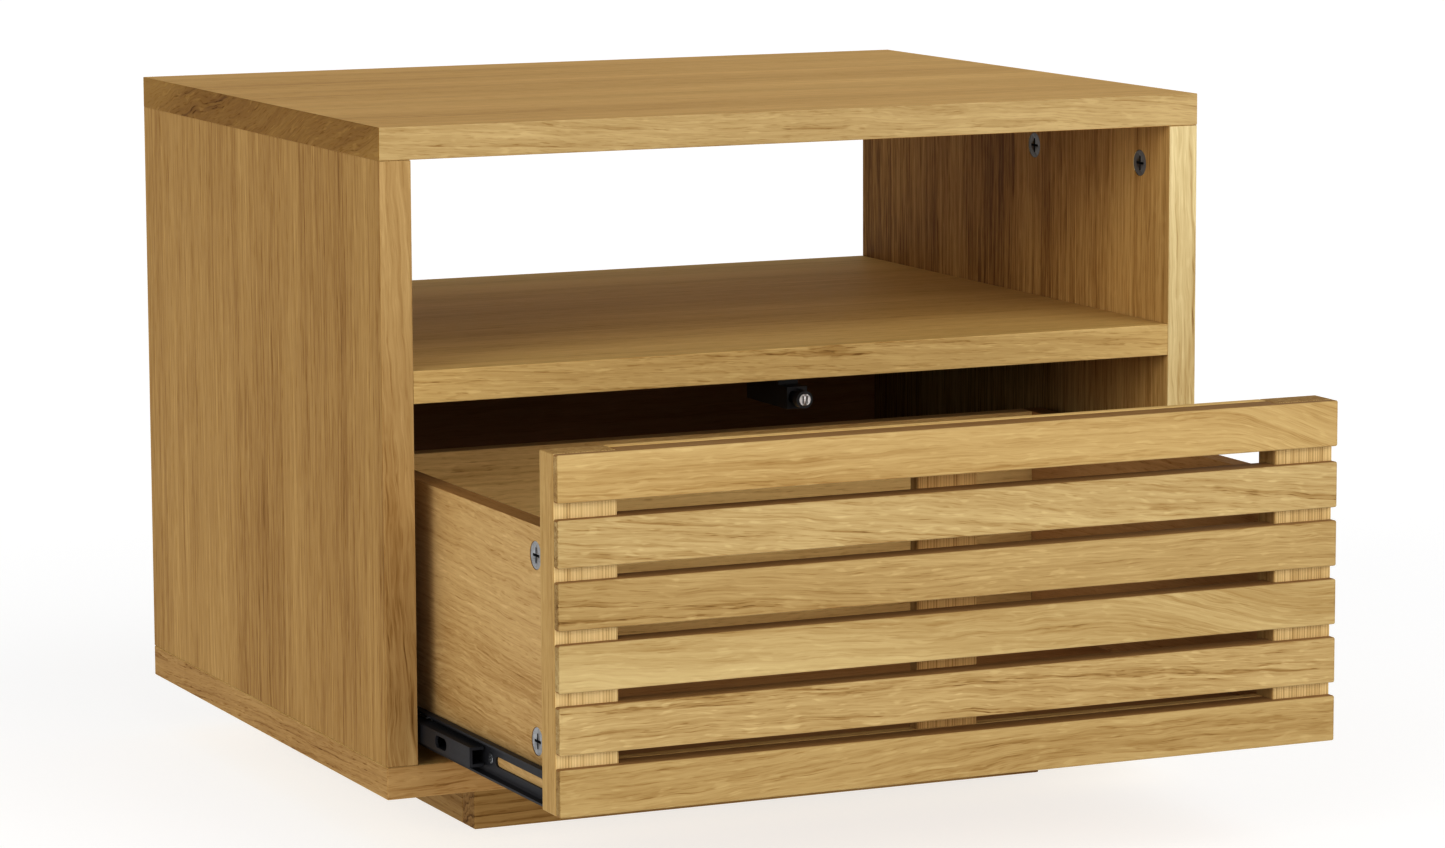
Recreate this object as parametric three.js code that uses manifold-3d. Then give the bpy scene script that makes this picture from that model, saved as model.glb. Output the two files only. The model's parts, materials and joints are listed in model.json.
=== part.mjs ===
// Oak bedside table: an open shelf space over one slatted drawer on ball slides.
// Millimetres, +Z up. Y = 0 in the cabinet group is the cabinet's front face, X = 0 its middle,
// Z = 0 the floor. The drawer stands open at rest, and the origin is on the floor under the
// middle of the box that the whole object then fills.
import * as THREE from "three";
import { mergeVertices } from "three/addons/utils/BufferGeometryUtils.js";
import Module from "manifold-3d";

const wasm = await Module();
wasm.setup();

// ---- driving dimensions -------------------------------------------------------------------
const WIDTH = 500;
const DEPTH = 400;
const HEIGHT = 400;
const BOARD = 18;
const PLINTH_HEIGHT = 34;
const PLINTH_SIDE_INSET = 72;
const PLINTH_END_INSET = 54;
const SHELF_TOP = 268;

const PULL_OUT = 193;
const FRONT_WIDTH = 458;
const FRONT_TOP = 248;
const SLAT_COUNT = 6;
const SLAT_HEIGHT = 25;
const SLAT_THICKNESS = 16;
const SLAT_LAP = 6;
const FINGER_GAP = 8.5;
const SLAT_GAP = 7.25;
const STILE_WIDTH = 35.5;
const STILE_THICKNESS = 18;

const BOX_SIDE = 12;
const BOX_LENGTH = 300;
const BOX_BOTTOM = 59.5;
const BOX_TOP = 204;
const DRAWER_FLOOR_Z = 70;
const DRAWER_FLOOR_THICKNESS = 5;
const GROOVE_DEPTH = 4;
const GROOVE_PLAY = 0.15;
const FLOOR_END_PLAY = 0.25;

const SLIDE_SPACE = 12.75;
const SLIDE_THICKNESS = 12.5;
const SLIDE_CENTRE_Z = 69.25;
const SLIDE_LENGTH = 300;
const SLIDE_SETBACK = 26;
const CHANNEL_HEIGHT = 19;
const SHEET = 1.2;
const CHANNEL_LIP = 5.4;
const CHANNEL_BEND = 2;
const ADJUSTING_SLOT = { front: 20, rear: 80, half: 2.8 };
const MIDDLE_HEIGHT = 10.8;
const MIDDLE_SETBACK = 2.2;
const MIDDLE_SHEET = 1.6;
const ACCESS_SLOTS = [42, 150, 258];
const ACCESS_SLOT_REACH = 5;
const ACCESS_SLOT_HALF = 3.3;
const BALL_RADIUS = 1.2;
const BALL_SETBACK = 3.4;
const CAGE_STRIP = 0.7;
const CAGE_BACK = 0.4;
const CAGE_BACK_SETBACK = 1.5;
const CAGE_LENGTH = 96;
const CAGE_SETBACK = 152;
const CAGE_BALLS = 4;
const WEB_SCREWS = [90, 166];
const SCREW_LENGTH = 7.2;
const SCREW_HOLE_RADIUS = 2.2;
const SCREW_SHANK_RADIUS = 1.9;
const SCREW_BORE_DEPTH = 6.5;
const SCREW_CROSS = { reach: 1.6, half: 0.35, depth: 0.9 };

const CAM_RADIUS = 7.4;
const CAM_BORE_RADIUS = 7.65;
const CAM_FACE_INSET = 0.25;
const CAM_CROSS = { reach: 4.2, half: 0.7, depth: 1.8 };
const CAM_POCKET_RADIUS = 3.3;
const BOLT_HEAD_RADIUS = 3;
const BOLT_NECK_RADIUS = 1.9;
const BOLT_SHANK_RADIUS = 3.4;
const BOLT_THREAD_RADIUS = 2.5;
const BOLT_BORE_RADIUS = 3.8;
const THREAD_BORE_RADIUS = 2.8;
const THREAD_LENGTH = 10.5;
const THREAD_BORE_DEPTH = 12;
const TOP_CAM_DROP = 24;
const TOP_CAM_DEPTHS = [35, 165];
const TOP_CAM_THICKNESS = 13;
const DRAWER_CAM_SETBACK = 29.5;
const DRAWER_CAM_HEIGHTS = [188, 90];
const DRAWER_CAM_THICKNESS = 10;

const LATCH_X = 13.25;
const LATCH_Z = 234.25;
const LATCH_BARREL = 12.5;
const LATCH_BARREL_LENGTH = 54;
const LATCH_STROKE = 8;
const LATCH_PLATE = { front: 18, rear: 12, wing: 8, thickness: 3 };
const LATCH_WEB = { front: 12, rear: 6 };
const PLUNGER_HEAD = { radius: 5, length: 5, play: 0.3 };
const PLUNGER_STEM = { radius: 3.2, length: 39, play: 0.4 };
const MAGNET = { radius: 3.5, depth: 1.75, proud: 0.5, play: 0.3 };
const MAGNET_SLOT = { offset: 1.2, half: 0.35, reach: 2.2, depth: 0.8 };
const STRIKE_RADIUS = 7;
const STRIKE_THICKNESS = 1.25;
const STRIKE_GAP = 0.25;

// ---- worked out from them -----------------------------------------------------------------
const HALF_WIDTH = WIDTH / 2;
const INNER_HALF = HALF_WIDTH - BOARD;
const FLOOR_TOP = PLINTH_HEIGHT + BOARD;
const TOP_UNDERSIDE = HEIGHT - BOARD;
const SHELF_UNDERSIDE = SHELF_TOP - BOARD;
const BACK_FACE = DEPTH - BOARD;
const FRONT_HALF = FRONT_WIDTH / 2;
const FRONT_BOTTOM = FRONT_TOP - SLAT_COUNT * SLAT_HEIGHT - FINGER_GAP - (SLAT_COUNT - 2) * SLAT_GAP;
const STILE_INNER = FRONT_HALF - STILE_WIDTH;
const FRONT_BACK = SLAT_LAP + STILE_THICKNESS;
const BOX_HALF = INNER_HALF - SLIDE_SPACE;
const BOX_REAR = FRONT_BACK + BOX_LENGTH;
const MAGNET_FACE = FRONT_BACK + STRIKE_THICKNESS + STRIKE_GAP;
const HEAD_FACE = MAGNET_FACE + MAGNET.proud;
const HEAD_BACK = HEAD_FACE + PLUNGER_HEAD.length;
const LATCH_MOUTH = HEAD_BACK + 5;
const LATCH_REAR = LATCH_MOUTH + LATCH_BARREL_LENGTH;
const REST_CENTRE_Y = (DEPTH - PULL_OUT) / 2;

// ---- finishes -----------------------------------------------------------------------------
function finish(color, roughness, metalness) {
  return new THREE.MeshStandardMaterial({ color, roughness, metalness });
}

const oakVeneer = finish(0xb88f5b, 0.55, 0);
const oakLipping = finish(0xcfab72, 0.55, 0);
const oakInside = finish(0xae8650, 0.6, 0);
const drawerFloorOak = finish(0xa9814d, 0.6, 0);
const darkSteel = finish(0x3d3c40, 0.45, 0.8);
const middleSteel = finish(0x2f2f33, 0.45, 0.8);
const brightSteel = finish(0xb9b7b2, 0.35, 1);
const zincCam = finish(0x9d9a95, 0.45, 0.9);
const blackPlastic = finish(0x151617, 0.5, 0);
const nickel = finish(0xd4d4d6, 0.3, 1);

// ---- solids -------------------------------------------------------------------------------
function toSolid(geometry) {
  const bare = geometry.clone();
  bare.deleteAttribute("normal");
  bare.deleteAttribute("uv");
  const merged = mergeVertices(bare, 1e-5);
  return new wasm.Manifold(
    new wasm.Mesh({
      numProp: 3,
      vertProperties: new Float32Array(merged.attributes.position.array),
      triVerts: new Uint32Array(merged.index.array),
    }),
  );
}

function toGeometry(solid) {
  const mesh = solid.getMesh();
  const geometry = new THREE.BufferGeometry();
  geometry.setAttribute("position", new THREE.BufferAttribute(mesh.vertProperties, 3));
  geometry.setIndex(new THREE.BufferAttribute(mesh.triVerts, 1));
  geometry.computeVertexNormals();
  return geometry;
}

function cut(geometry, tools) {
  let solid = toSolid(geometry);
  for (const tool of tools) {
    solid = solid.subtract(toSolid(tool));
  }
  return toGeometry(solid);
}

function join(geometry, others) {
  let solid = toSolid(geometry);
  for (const other of others) {
    solid = solid.add(toSolid(other));
  }
  return toGeometry(solid);
}

// A box given by its lowest and highest X, Y and Z.
function block(x0, x1, y0, y1, z0, z1) {
  const geometry = new THREE.BoxGeometry(x1 - x0, y1 - y0, z1 - z0);
  geometry.translate((x0 + x1) / 2, (y0 + y1) / 2, (z0 + z1) / 2);
  return geometry;
}

// A round bar along one axis, from one coordinate on that axis to another.
function bar(axis, from, to, radius, centre, segments = 24) {
  const geometry = new THREE.CylinderGeometry(radius, radius, Math.abs(to - from), segments);
  const middle = (from + to) / 2;
  if (axis === "x") {
    geometry.rotateZ(Math.PI / 2);
    geometry.translate(middle, centre[0], centre[1]);
  } else if (axis === "y") {
    geometry.translate(centre[0], middle, centre[1]);
  } else {
    geometry.rotateX(Math.PI / 2);
    geometry.translate(centre[0], centre[1], middle);
  }
  return geometry;
}

// A solid of revolution about Y, from a profile of [radius, Y] going up.
function turned(profile, segments) {
  return new THREE.LatheGeometry(profile.map(([r, y]) => new THREE.Vector2(r, y)), segments);
}

function polygon(outline) {
  return new THREE.Shape(outline.map(([x, y]) => new THREE.Vector2(x, y)));
}

function place(group, name, geometry, material) {
  const mesh = new THREE.Mesh(geometry, material);
  mesh.name = name;
  group.add(mesh);
  return mesh;
}

// A board is drawn about its own middle and set down by its position.
function board(group, name, material, x, y, z, tools = []) {
  const middle = [(x[0] + x[1]) / 2, (y[0] + y[1]) / 2, (z[0] + z[1]) / 2];
  let geometry = new THREE.BoxGeometry(x[1] - x[0], y[1] - y[0], z[1] - z[0]);
  if (tools.length > 0) {
    for (const tool of tools) {
      tool.translate(-middle[0], -middle[1], -middle[2]);
    }
    geometry = cut(geometry, tools);
  }
  const mesh = place(group, name, geometry, material);
  mesh.position.set(...middle);
  return mesh;
}

const SIDES = [
  { name: "left", sign: -1 },
  { name: "right", sign: 1 },
];

// Lowest and highest of two X values mirrored to one side.
function mirrored(sign, inner, outer) {
  return sign < 0 ? [-outer, -inner] : [inner, outer];
}

// ---- cam fittings -------------------------------------------------------------------------
// A cam is drawn with its face at Z = 0 looking up +Z and its body below. Its pocket opens
// towards +Y, where the bolt's head enters.
function camGeometry(thickness, boltDepth) {
  const disc = bar("z", -thickness, 0, CAM_RADIUS, [0, 0], 24);
  const { reach, half, depth } = CAM_CROSS;
  const pocket = CAM_POCKET_RADIUS;
  return cut(disc, [
    block(-reach, reach, -half, half, -depth, 1),
    block(-half, half, -reach, reach, -depth, 1),
    bar("y", -pocket, CAM_RADIUS + 1, pocket, [0, -boltDepth], 16),
  ]);
}

// The bolt lies along +Y from the cam's middle: head, neck, shank, then thread.
function boltGeometry(edgeDistance, threadLength) {
  const shoulder = edgeDistance - 0.3;
  const tip = edgeDistance + threadLength;
  const neckEnd = CAM_RADIUS + 0.4;
  const profile = [
    [0, -2.8],
    [BOLT_HEAD_RADIUS - 0.6, -2.8],
    [BOLT_HEAD_RADIUS, -2],
    [BOLT_HEAD_RADIUS, -0.8],
    [BOLT_NECK_RADIUS, 0.2],
    [BOLT_NECK_RADIUS, neckEnd],
    [BOLT_SHANK_RADIUS, neckEnd + 0.8],
    [BOLT_SHANK_RADIUS, shoulder],
    [BOLT_THREAD_RADIUS, shoulder],
    [BOLT_THREAD_RADIUS, tip - 1],
    [BOLT_THREAD_RADIUS / 2, tip],
    [0, tip],
  ];
  return turned(profile, 10);
}

// ---- cabinet ------------------------------------------------------------------------------
const nightstand = new THREE.Group();
nightstand.position.y = -REST_CENTRE_Y;

const cabinet = new THREE.Group();
nightstand.add(cabinet);

const topBoltX = INNER_HALF + BOARD / 2;
const topCamZ = TOP_UNDERSIDE - TOP_CAM_DROP;

function buildCarcass() {
  const whole = [-HALF_WIDTH, HALF_WIDTH];
  const inside = [-INNER_HALF, INNER_HALF];
  const threadBores = [];
  for (const { sign } of SIDES) {
    for (const y of TOP_CAM_DEPTHS) {
      const centre = [sign * topBoltX, y];
      const boreEnd = TOP_UNDERSIDE + THREAD_BORE_DEPTH;
      threadBores.push(bar("z", TOP_UNDERSIDE - 1, boreEnd, THREAD_BORE_RADIUS, centre));
    }
  }
  board(cabinet, "top_panel", oakVeneer, whole, [0, DEPTH], [TOP_UNDERSIDE, HEIGHT], threadBores);
  board(cabinet, "bottom_panel", oakVeneer, whole, [0, DEPTH], [PLINTH_HEIGHT, FLOOR_TOP]);
  board(cabinet, "middle_shelf", oakVeneer, inside, [0, DEPTH], [SHELF_UNDERSIDE, SHELF_TOP]);
  board(cabinet, "back_panel", oakInside, inside, [BACK_FACE, DEPTH], [FLOOR_TOP, SHELF_UNDERSIDE]);
  for (const { name, sign } of SIDES) {
    const tools = [];
    for (const y of TOP_CAM_DEPTHS) {
      const boreEnd = sign * (INNER_HALF + TOP_CAM_THICKNESS + 2 * CAM_FACE_INSET);
      tools.push(bar("x", sign * (INNER_HALF - 1), boreEnd, CAM_BORE_RADIUS, [y, topCamZ], 28));
      tools.push(bar("z", topCamZ, TOP_UNDERSIDE + 1, BOLT_BORE_RADIUS, [sign * topBoltX, y]));
    }
    const x = mirrored(sign, INNER_HALF, HALF_WIDTH);
    board(cabinet, `${name}_side_panel`, oakVeneer, x, [0, DEPTH], [FLOOR_TOP, TOP_UNDERSIDE], tools);
  }
}

function buildPlinth() {
  const outer = HALF_WIDTH - PLINTH_SIDE_INSET;
  const front = PLINTH_END_INSET;
  const rear = DEPTH - PLINTH_END_INSET;
  const z = [0, PLINTH_HEIGHT];
  board(cabinet, "plinth_front_rail", oakVeneer, [-outer, outer], [front, front + BOARD], z);
  board(cabinet, "plinth_back_rail", oakVeneer, [-outer, outer], [rear - BOARD, rear], z);
  for (const { name, sign } of SIDES) {
    const x = mirrored(sign, outer - BOARD, outer);
    board(cabinet, `plinth_${name}_rail`, oakVeneer, x, [front + BOARD, rear - BOARD], z);
  }
}

// The top cams look inwards from the side panels, with their bolts standing up into the top.
function buildTopFittings() {
  const rows = ["front", "rear"];
  for (const { name, sign } of SIDES) {
    TOP_CAM_DEPTHS.forEach((y, row) => {
      const cam = camGeometry(TOP_CAM_THICKNESS, BOARD / 2 - CAM_FACE_INSET);
      const camMesh = place(cabinet, `${name}_${rows[row]}_top_cam`, cam, zincCam);
      camMesh.rotation.set(Math.PI / 2, -sign * Math.PI / 2, 0);
      camMesh.position.set(sign * (INNER_HALF + CAM_FACE_INSET), y, topCamZ);
      const bolt = boltGeometry(TOP_CAM_DROP, THREAD_LENGTH);
      const boltMesh = place(cabinet, `${name}_${rows[row]}_top_cam_bolt`, bolt, brightSteel);
      boltMesh.rotation.x = Math.PI / 2;
      boltMesh.position.set(sign * topBoltX, y, topCamZ);
    });
  }
}

// ---- drawer, drawn shut and then pulled out -----------------------------------------------
const drawer = new THREE.Group();
drawer.position.y = -PULL_OUT;
nightstand.add(drawer);

const latchSlide = new THREE.Group();
nightstand.add(latchSlide);

const boxBoltX = BOX_HALF - BOX_SIDE / 2;

function slatBottoms() {
  const bottoms = [];
  let bottom = FRONT_TOP - SLAT_HEIGHT;
  for (let row = 0; row < SLAT_COUNT; row += 1) {
    bottoms.push(bottom);
    bottom -= SLAT_HEIGHT + (row === 0 ? FINGER_GAP : SLAT_GAP);
  }
  return bottoms;
}

function floorGroove(x, y) {
  const low = DRAWER_FLOOR_Z - GROOVE_PLAY;
  const high = DRAWER_FLOOR_Z + DRAWER_FLOOR_THICKNESS + GROOVE_PLAY;
  return block(x[0], x[1], y[0], y[1], low, high);
}

// The slats are thick between the end stiles and lapped thin over them.
function buildDrawerFront() {
  slatBottoms().forEach((bottom, row) => {
    const z = [bottom, bottom + SLAT_HEIGHT];
    const laps = SIDES.map(({ sign }) => {
      const x = mirrored(sign, STILE_INNER, FRONT_HALF + 1);
      return block(x[0], x[1], SLAT_LAP, SLAT_THICKNESS + 1, z[0] - 1, z[1] + 1);
    });
    const across = [-FRONT_HALF, FRONT_HALF];
    board(drawer, `drawer_slat_${row + 1}`, oakLipping, across, [0, SLAT_THICKNESS], z, laps);
  });
  const railY = [SLAT_THICKNESS, FRONT_BACK];
  const between = [-STILE_INNER, STILE_INNER];
  const grooveBottom = FRONT_BACK - GROOVE_DEPTH;
  for (const { name, sign } of SIDES) {
    const boltBores = DRAWER_CAM_HEIGHTS.map((z) => {
      const from = FRONT_BACK - THREAD_BORE_DEPTH;
      return bar("y", from, FRONT_BACK + 1, THREAD_BORE_RADIUS, [sign * boxBoltX, z]);
    });
    const grooveX = mirrored(sign, STILE_INNER - 1, BOX_HALF - BOX_SIDE + GROOVE_DEPTH);
    const tools = [...boltBores, floorGroove(grooveX, [grooveBottom, FRONT_BACK + 1])];
    const x = mirrored(sign, STILE_INNER, FRONT_HALF);
    const y = [SLAT_LAP, FRONT_BACK];
    board(drawer, `drawer_${name}_stile`, oakLipping, x, y, [FRONT_BOTTOM, FRONT_TOP], tools);
  }
  const bottomRailTop = FRONT_BOTTOM + SLAT_HEIGHT;
  const topRailBottom = FRONT_TOP - SLAT_HEIGHT;
  const railGroove = [floorGroove([-FRONT_HALF, FRONT_HALF], [grooveBottom, FRONT_BACK + 1])];
  board(drawer, "drawer_top_rail", oakLipping, between, railY, [topRailBottom, FRONT_TOP]);
  board(drawer, "drawer_bottom_rail", oakLipping, between, railY, [FRONT_BOTTOM, bottomRailTop], railGroove);
  const batten = [-STILE_WIDTH / 2, STILE_WIDTH / 2];
  board(drawer, "drawer_centre_batten", oakLipping, batten, railY, [bottomRailTop, topRailBottom]);
}

function buildDrawerBox() {
  const inner = BOX_HALF - BOX_SIDE;
  const rearFace = BOX_REAR - BOX_SIDE;
  const z = [BOX_BOTTOM, BOX_TOP];
  for (const { name, sign } of SIDES) {
    const grooveX = mirrored(sign, inner - 1, inner + GROOVE_DEPTH);
    const tools = [floorGroove(grooveX, [FRONT_BACK - 1, rearFace + GROOVE_DEPTH])];
    const camY = FRONT_BACK + DRAWER_CAM_SETBACK;
    for (const camZ of DRAWER_CAM_HEIGHTS) {
      const boreEnd = sign * (BOX_HALF - DRAWER_CAM_THICKNESS - 2 * CAM_FACE_INSET);
      tools.push(bar("x", sign * (BOX_HALF + 1), boreEnd, CAM_BORE_RADIUS, [camY, camZ], 28));
      tools.push(bar("y", FRONT_BACK - 1, camY, BOLT_BORE_RADIUS, [sign * boxBoltX, camZ]));
    }
    for (const along of WEB_SCREWS) {
      const boreEnd = sign * (BOX_HALF - SCREW_BORE_DEPTH);
      const centre = [SLIDE_SETBACK + along, SLIDE_CENTRE_Z];
      tools.push(bar("x", sign * (BOX_HALF + 1), boreEnd, SCREW_HOLE_RADIUS, centre, 14));
    }
    const x = mirrored(sign, inner, BOX_HALF);
    board(drawer, `drawer_${name}_side`, oakInside, x, [FRONT_BACK, BOX_REAR], z, tools);
  }
  const backGroove = [floorGroove([-inner - 1, inner + 1], [rearFace - 1, rearFace + GROOVE_DEPTH])];
  board(drawer, "drawer_back", oakInside, [-inner, inner], [rearFace, BOX_REAR], z, backGroove);
  const floorHalf = inner + GROOVE_DEPTH - FLOOR_END_PLAY;
  const floorY = [FRONT_BACK - GROOVE_DEPTH + FLOOR_END_PLAY, rearFace + GROOVE_DEPTH - FLOOR_END_PLAY];
  const floorZ = [DRAWER_FLOOR_Z, DRAWER_FLOOR_Z + DRAWER_FLOOR_THICKNESS];
  board(drawer, "drawer_floor", drawerFloorOak, [-floorHalf, floorHalf], floorY, floorZ);
}

// The drawer's cams look outwards from the box sides, with their bolts lying into the stiles.
function buildDrawerFittings() {
  const rows = ["upper", "lower"];
  for (const { name, sign } of SIDES) {
    DRAWER_CAM_HEIGHTS.forEach((z, row) => {
      const cam = camGeometry(DRAWER_CAM_THICKNESS, BOX_SIDE / 2 - CAM_FACE_INSET);
      const camMesh = place(drawer, `drawer_${name}_${rows[row]}_cam`, cam, zincCam);
      camMesh.rotation.set(Math.PI, sign * Math.PI / 2, 0);
      camMesh.position.set(sign * (BOX_HALF - CAM_FACE_INSET), FRONT_BACK + DRAWER_CAM_SETBACK, z);
      const bolt = boltGeometry(DRAWER_CAM_SETBACK, THREAD_LENGTH);
      const boltMesh = place(drawer, `drawer_${name}_${rows[row]}_cam_bolt`, bolt, brightSteel);
      boltMesh.rotation.z = Math.PI;
      boltMesh.position.set(sign * boxBoltX, FRONT_BACK + DRAWER_CAM_SETBACK, z);
    });
  }
}

// ---- ball slides --------------------------------------------------------------------------
// Every slide profile is drawn in the XY plane, X away from the cabinet side and Y up, then
// pushed back along the cabinet's depth. Right-hand pieces are left ones turned half round.
function channelShape() {
  const half = CHANNEL_HEIGHT / 2;
  const outer = CHANNEL_BEND;
  const inner = outer - SHEET;
  const shape = new THREE.Shape();
  shape.moveTo(CHANNEL_LIP, half);
  shape.lineTo(outer, half);
  shape.absarc(outer, half - outer, outer, Math.PI / 2, Math.PI, false);
  shape.lineTo(0, -half + outer);
  shape.absarc(outer, -half + outer, outer, Math.PI, 1.5 * Math.PI, false);
  shape.lineTo(CHANNEL_LIP, -half);
  shape.lineTo(CHANNEL_LIP, -half + SHEET);
  shape.lineTo(outer, -half + SHEET);
  shape.absarc(outer, -half + outer, inner, 1.5 * Math.PI, Math.PI, true);
  shape.lineTo(SHEET, half - outer);
  shape.absarc(outer, half - outer, inner, Math.PI, Math.PI / 2, true);
  shape.lineTo(CHANNEL_LIP, half - SHEET);
  shape.closePath();
  return shape;
}

// The middle member is a U on its side: a flat web towards the cabinet and two flanges.
function middleShape() {
  const half = MIDDLE_HEIGHT / 2;
  const near = MIDDLE_SETBACK;
  const far = SLIDE_THICKNESS - MIDDLE_SETBACK;
  return polygon([
    [near, half],
    [near, -half],
    [far, -half],
    [far, -half + MIDDLE_SHEET],
    [near + MIDDLE_SHEET, -half + MIDDLE_SHEET],
    [near + MIDDLE_SHEET, half - MIDDLE_SHEET],
    [far, half - MIDDLE_SHEET],
    [far, half],
  ]);
}

function alongSlide(shape, length) {
  const options = { depth: length, bevelEnabled: false, curveSegments: 4 };
  const geometry = new THREE.ExtrudeGeometry(shape, options);
  geometry.rotateX(Math.PI / 2);
  geometry.translate(0, length, 0);
  return geometry;
}

// A hole right through a sheet that faces X, long in Y and round at its ends.
function slotTools(x0, x1, y0, y1, half) {
  const ends = [y0, y1].map((y) => bar("x", x0, x1, half, [y, 0], 16));
  return [...ends, block(x0, x1, y0, y1, -half, half)];
}

// Openings in a channel's web: screw holes, and the long adjusting slot behind the front end.
function channelGeometry() {
  const countersink = [
    [0, -1],
    [SCREW_HOLE_RADIUS, -1],
    [SCREW_HOLE_RADIUS, 0],
    [SCREW_HOLE_RADIUS + SHEET, SHEET],
    [SCREW_HOLE_RADIUS + SHEET, SHEET + 1],
    [0, SHEET + 1],
  ];
  const holes = WEB_SCREWS.map((y) => {
    const hole = turned(countersink, 16);
    hole.rotateZ(-Math.PI / 2);
    hole.translate(0, y, 0);
    return hole;
  });
  const { front, rear, half } = ADJUSTING_SLOT;
  const tools = [...holes, ...slotTools(-1, SHEET + 1, front, rear, half)];
  return cut(alongSlide(channelShape(), SLIDE_LENGTH), tools);
}

// The middle member's web has slots that a screwdriver goes through.
function middleGeometry() {
  const from = MIDDLE_SETBACK - 1;
  const to = MIDDLE_SETBACK + MIDDLE_SHEET + 1;
  const tools = ACCESS_SLOTS.flatMap((y) => {
    return slotTools(from, to, y - ACCESS_SLOT_REACH, y + ACCESS_SLOT_REACH, ACCESS_SLOT_HALF);
  });
  return cut(alongSlide(middleShape(), SLIDE_LENGTH), tools);
}

// A cage is a thin strip bent round one half of the middle member, holding two rows of balls.
function cageGeometry() {
  const ballZ = (MIDDLE_HEIGHT / 2 + CHANNEL_HEIGHT / 2 - SHEET) / 2;
  const far = CHANNEL_LIP - 0.6;
  const near = CAGE_BACK_SETBACK;
  const half = CAGE_STRIP / 2;
  const shape = polygon([
    [near, ballZ + half],
    [near, -ballZ - half],
    [far, -ballZ - half],
    [far, -ballZ + half],
    [near + CAGE_BACK, -ballZ + half],
    [near + CAGE_BACK, ballZ - half],
    [far, ballZ - half],
    [far, ballZ + half],
  ]);
  const pitch = CAGE_LENGTH / CAGE_BALLS;
  const balls = [];
  for (let step = 0; step < CAGE_BALLS; step += 1) {
    for (const side of [-1, 1]) {
      const ball = new THREE.SphereGeometry(BALL_RADIUS, 10, 5);
      ball.translate(BALL_SETBACK, pitch * (step + 0.5), side * ballZ);
      balls.push(ball);
    }
  }
  return join(alongSlide(shape, CAGE_LENGTH), balls);
}

// A countersunk screw along +Y, its flat head at Y = 0 and its thread pointing to +Y.
function screwGeometry() {
  const profile = [
    [0, 0],
    [SCREW_SHANK_RADIUS + SHEET, 0],
    [SCREW_SHANK_RADIUS, SHEET],
    [SCREW_SHANK_RADIUS, SCREW_LENGTH - 1.5],
    [0, SCREW_LENGTH],
  ];
  const { reach, half, depth } = SCREW_CROSS;
  return cut(turned(profile, 16), [
    block(-reach, reach, -1, depth, -half, half),
    block(-half, half, -1, depth, -reach, reach),
  ]);
}

// A drawer-side piece is the cabinet-side one turned half round inside the slide.
function facingDrawer(geometry) {
  geometry.rotateY(Math.PI);
  geometry.translate(SLIDE_THICKNESS, 0, 0);
  return geometry;
}

// The members and cages share out the drawer's travel: half to the middle member, a quarter
// to the outer cages and three quarters to the inner ones.
function buildSlides() {
  const travelling = (share) => {
    const group = new THREE.Group();
    group.position.y = -PULL_OUT * share;
    nightstand.add(group);
    return group;
  };
  const middle = travelling(0.5);
  const outerCages = travelling(0.25);
  const innerCages = travelling(0.75);
  const front = SLIDE_SETBACK;
  const play = SLIDE_SPACE - SLIDE_THICKNESS;
  const cage = CAGE_SETBACK;
  for (const { name, sign } of SIDES) {
    const add = (group, piece, geometry, material, offset, y) => {
      const mesh = place(group, `${name}_slide_${piece}`, geometry, material);
      mesh.rotation.y = sign > 0 ? Math.PI : 0;
      mesh.position.set(sign * (INNER_HALF - offset), y, SLIDE_CENTRE_Z);
    };
    add(cabinet, "cabinet_member", channelGeometry(), darkSteel, 0, front);
    add(outerCages, "outer_ball_cage", cageGeometry(), brightSteel, 0, cage);
    add(middle, "middle_member", middleGeometry(), middleSteel, 0, front);
    add(innerCages, "inner_ball_cage", facingDrawer(cageGeometry()), brightSteel, play, cage);
    add(drawer, "drawer_member", facingDrawer(channelGeometry()), darkSteel, play, front);
  }
}

// Screws through the drawer members' webs into bores in the box sides.
function buildSlideScrews() {
  const rows = ["front", "rear"];
  for (const { name, sign } of SIDES) {
    WEB_SCREWS.forEach((along, row) => {
      const screw = place(drawer, `${name}_slide_${rows[row]}_screw`, screwGeometry(), brightSteel);
      screw.rotation.z = sign * Math.PI / 2;
      screw.position.set(sign * (BOX_HALF + SHEET), SLIDE_SETBACK + along, SLIDE_CENTRE_Z);
    });
  }
}

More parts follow.
